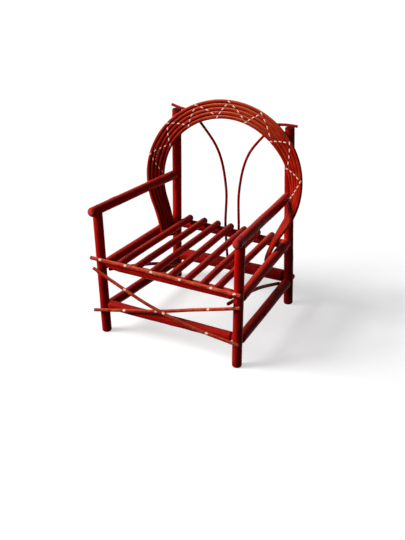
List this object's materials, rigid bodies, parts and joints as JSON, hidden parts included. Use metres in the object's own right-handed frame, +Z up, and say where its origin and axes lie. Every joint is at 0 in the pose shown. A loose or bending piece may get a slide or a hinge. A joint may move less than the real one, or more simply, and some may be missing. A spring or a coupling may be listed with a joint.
{
  "type": "twig armchair",
  "caption": "Child's rustic armchair of peeled sticks joined by round tenons, with a slatted seat and a bow back of five bent shoots that turn edge-on to the seat rails.",
  "frame": {"origin": "on the floor, in the middle of the footprint of the whole chair", "axes": "+Z up, +X to the sitter's left, which is the viewer's right from the front, and +Y from the front of the seat to the back"},
  "size_m": [0.4527, 0.422, 0.5565],
  "materials": {
    "stick_paint": "worn satin paint",
    "bow_paint": "worn satin paint",
    "nail_steel": "dull",
    "dab_paint": "worn off-white paint"
  },
  "bodies": {
    "root": {"arm_nails": "nail_steel", "back_left_post": "stick_paint", "back_right_post": "stick_paint", "back_seat_rail": "stick_paint", "back_stretcher": "stick_paint", "bow_nails": "nail_steel", "cross_twig_a": "stick_paint", "cross_twig_b": "stick_paint", "cross_twig_nails": "nail_steel", "front_left_post": "stick_paint", "front_right_post": "stick_paint", "front_seat_rail": "stick_paint", "front_stretcher": "stick_paint", "front_trim_twig": "stick_paint", "hoop_strand_1": "bow_paint", "hoop_strand_2": "bow_paint", "hoop_strand_3": "bow_paint", "hoop_strand_4": "bow_paint", "hoop_strand_5": "bow_paint", "left_arm": "stick_paint", "left_brace_twig": "stick_paint", "left_inner_twig": "stick_paint", "left_seat_rail": "stick_paint", "left_stretcher": "stick_paint", "left_top_twig": "stick_paint", "right_arm": "stick_paint", "right_brace_twig": "stick_paint", "right_inner_twig": "stick_paint", "right_seat_rail": "stick_paint", "right_stretcher": "stick_paint", "right_top_twig": "stick_paint", "seat_slat_1": "stick_paint", "seat_slat_2": "stick_paint", "seat_slat_3": "stick_paint", "seat_slat_4": "stick_paint", "seat_slat_5": "stick_paint", "seat_slat_6": "stick_paint", "seat_slat_7": "stick_paint", "side_rail_nails": "nail_steel", "slat_back_nails": "nail_steel", "slat_front_nails": "nail_steel", "trim_nails": "nail_steel"}
  },
  "joints": []
}
